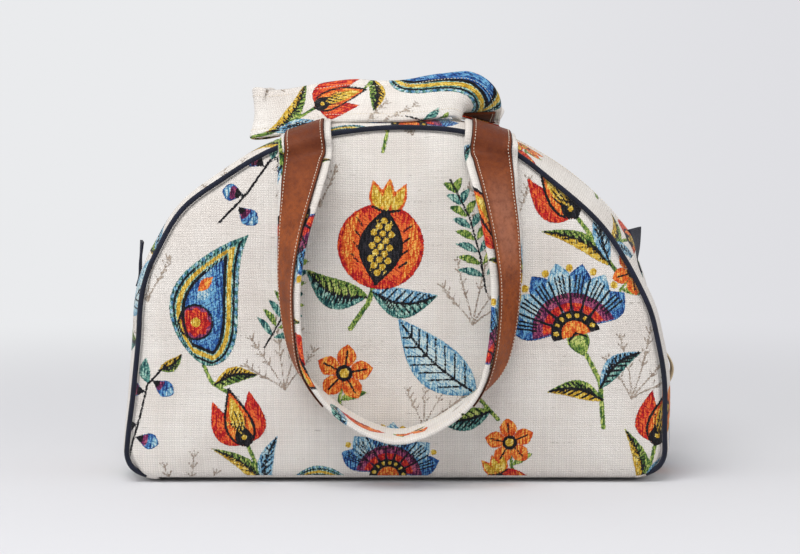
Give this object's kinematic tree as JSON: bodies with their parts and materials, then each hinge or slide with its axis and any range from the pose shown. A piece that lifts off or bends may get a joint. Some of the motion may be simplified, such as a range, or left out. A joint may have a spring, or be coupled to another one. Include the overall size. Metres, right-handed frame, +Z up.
{
  "type": "carpet bag",
  "caption": "Half-moon tapestry carpet bag with navy piped seams, a zip over the arch and two strap handles faced with brown leather.",
  "frame": {"origin": "middle of the flat base, on the floor", "axes": "+X along the bag's width to the right as seen from the front, -Y out of the front, +Z up"},
  "size_m": [0.4593, 0.2527, 0.3386],
  "materials": {
    "tapestry": "cream woven tapestry with coloured figures",
    "piping": "navy twill over cord",
    "zip_tape": "navy woven tape",
    "tan_tape": "plain tan cotton tape",
    "leather": "oiled brown leather with a soft sheen",
    "zip_metal": "antique brass, worn",
    "board": "plain stiff sheet"
  },
  "bodies": {
    "bag": {"front_panel": "tapestry", "back_panel": "tapestry", "front_piping": "piping", "back_piping": "piping", "side_gusset_left": "tapestry", "side_gusset_right": "tapestry", "base_panel": "tapestry", "base_board": "board", "zip_gusset_front": "tapestry", "zip_gusset_back": "tapestry", "zip_tape_front": "zip_tape", "zip_tape_back": "zip_tape", "zip_teeth_front": "zip_metal", "zip_teeth_back": "zip_metal", "zip_top_stop": "zip_metal", "zip_bottom_stop": "zip_metal", "zip_tab_left": "piping", "zip_tab_right": "piping", "side_loop": "tan_tape", "front_handle": "tapestry", "front_handle_leather_left": "leather", "front_handle_leather_right": "leather", "back_handle": "tapestry", "back_handle_leather_left": "leather", "back_handle_leather_right": "leather"},
    "zip_slider": {"zip_slider": "zip_metal"},
    "zip_puller": {"zip_puller": "zip_metal"}
  },
  "joints": [
    {"name": "slider_run", "type": "hinge", "parent": "bag", "child": "zip_slider", "pos_m": [0, 0, 0.057], "axis": [0, 1, 0], "range_deg": [0, 95.7]},
    {"name": "puller_swing", "type": "hinge", "parent": "zip_slider", "child": "zip_puller", "pos_m": [-0.18288, 0, 0.22228], "axis": [0, -1, 0], "range_deg": [0, 165]}
  ]
}
